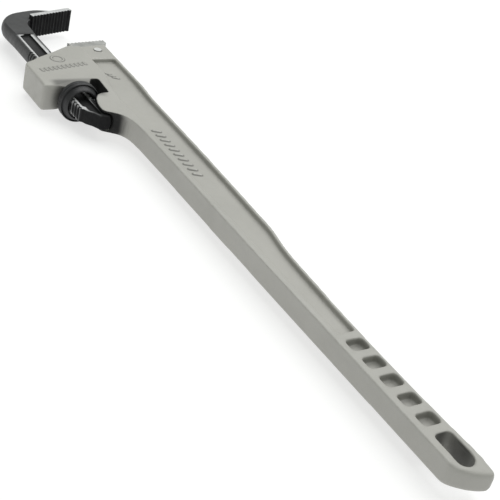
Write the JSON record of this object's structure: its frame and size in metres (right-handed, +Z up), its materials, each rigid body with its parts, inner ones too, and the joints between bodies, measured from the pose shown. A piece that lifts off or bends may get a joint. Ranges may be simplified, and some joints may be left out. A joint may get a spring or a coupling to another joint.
{
  "type": "pipe wrench",
  "caption": "Straight pipe wrench with a cast light-metal handle, a sliding hook jaw set by a ring nut on its threaded shank, and a pinned toothed heel jaw",
  "frame": {"origin": "centre of the wrench's length and width, at the floor it lies on", "axes": "X along the handle from the jaws (-X) to the hanging end (+X); Y from the front edge (-Y) to the back edge (+Y), where the mouth opens; Z up through the thickness, the wrench lies on its side"},
  "size_m": [0.9175, 0.132, 0.0492],
  "materials": {
    "painted_casting": "satin",
    "tool_steel": "satin",
    "bright_steel": "polished",
    "dark_forging": "satin",
    "dark_steel": "satin",
    "spring_steel": "satin"
  },
  "bodies": {
    "handle_body": {"handle": "painted_casting", "heel_jaw": "tool_steel", "heel_jaw_pin": "bright_steel"},
    "spring_body": {"flat_spring": "spring_steel", "coil_spring": "spring_steel", "spring_rivet": "bright_steel"},
    "jaw_body": {"hook_jaw": "dark_forging"},
    "nut_body": {"adjusting_nut": "dark_steel"}
  },
  "joints": [
    {"name": "jaw_rock", "type": "hinge", "parent": "handle_body", "child": "spring_body", "pos_m": [-0.2131, -0.0274, 0.0246], "axis": [0, 0, 1], "range_deg": [-2.5, 0], "stiffness_Nm_per_rad": 20},
    {"name": "jaw_slide", "type": "slide", "parent": "spring_body", "child": "jaw_body", "axis": [1, 0, 0], "range_m": [-0.027, 0.06]},
    {"name": "nut_spin", "type": "hinge", "parent": "handle_body", "child": "nut_body", "pos_m": [-0.2131, -0.0274, 0.0246], "axis": [1, 0, 0], "range_deg": [-3405, 1535]}
  ],
  "couplings": [
    {"joint": "nut_spin", "follows": "jaw_slide", "rad_per_m": -989.5}
  ]
}
